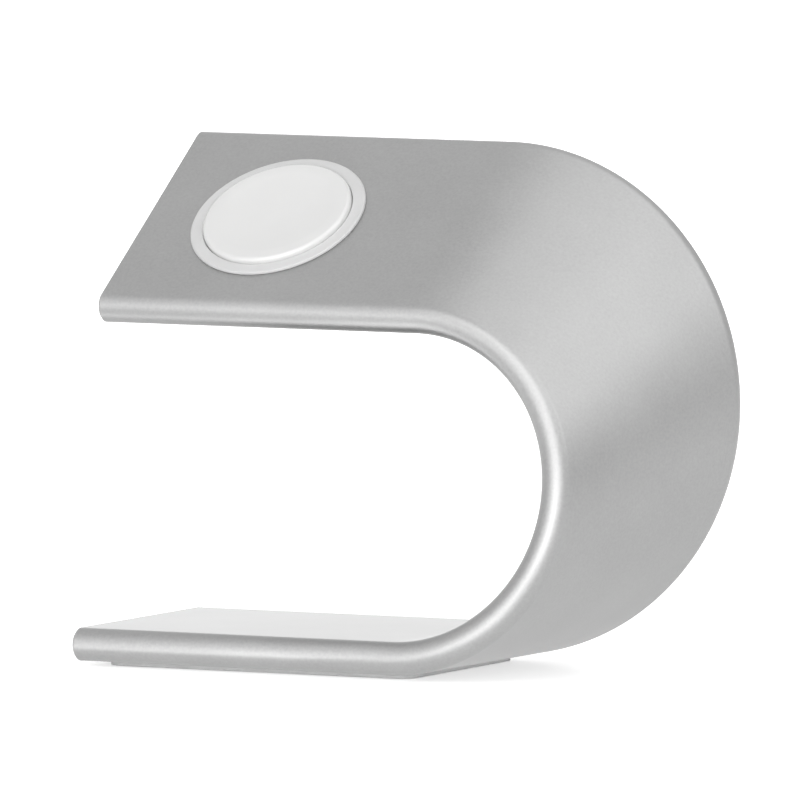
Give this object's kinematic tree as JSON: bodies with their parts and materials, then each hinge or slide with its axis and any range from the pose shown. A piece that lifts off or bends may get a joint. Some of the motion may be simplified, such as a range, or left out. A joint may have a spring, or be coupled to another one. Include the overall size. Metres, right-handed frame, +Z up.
{
  "type": "smartwatch charging dock",
  "caption": "C-shaped stand of bent aluminium plate that holds a smartwatch on a magnetic charging disc, leaning back towards the viewer.",
  "frame": {"origin": "middle of the outline's box, on the surface that the dock stands on", "axes": "+Z up, the front that the watch faces is -Y, the bend is at +X and the arms' open ends are at -X"},
  "size_m": [0.1094, 0.0534, 0.0936],
  "materials": {
    "stand_body": "bead-blasted and clear anodised, satin",
    "base_pad": "matte silicone",
    "charger_sleeve": "matte silicone",
    "charger_shell": "satin",
    "charger_cap": "glossy white",
    "charger_magnet": "nickel-plated",
    "charger_coil": "enamelled copper wire",
    "charger_ferrite": "matte ceramic",
    "charger_board": "solder mask",
    "board_chips": "moulded"
  },
  "bodies": {
    "root": {"stand_body": "stand_body", "base_pad": "base_pad", "charger_sleeve": "charger_sleeve", "charger_shell": "charger_shell", "charger_cap": "charger_cap", "charger_magnet": "charger_magnet", "charger_coil": "charger_coil", "charger_ferrite": "charger_ferrite", "charger_board": "charger_board", "board_chips": "board_chips"}
  },
  "joints": []
}
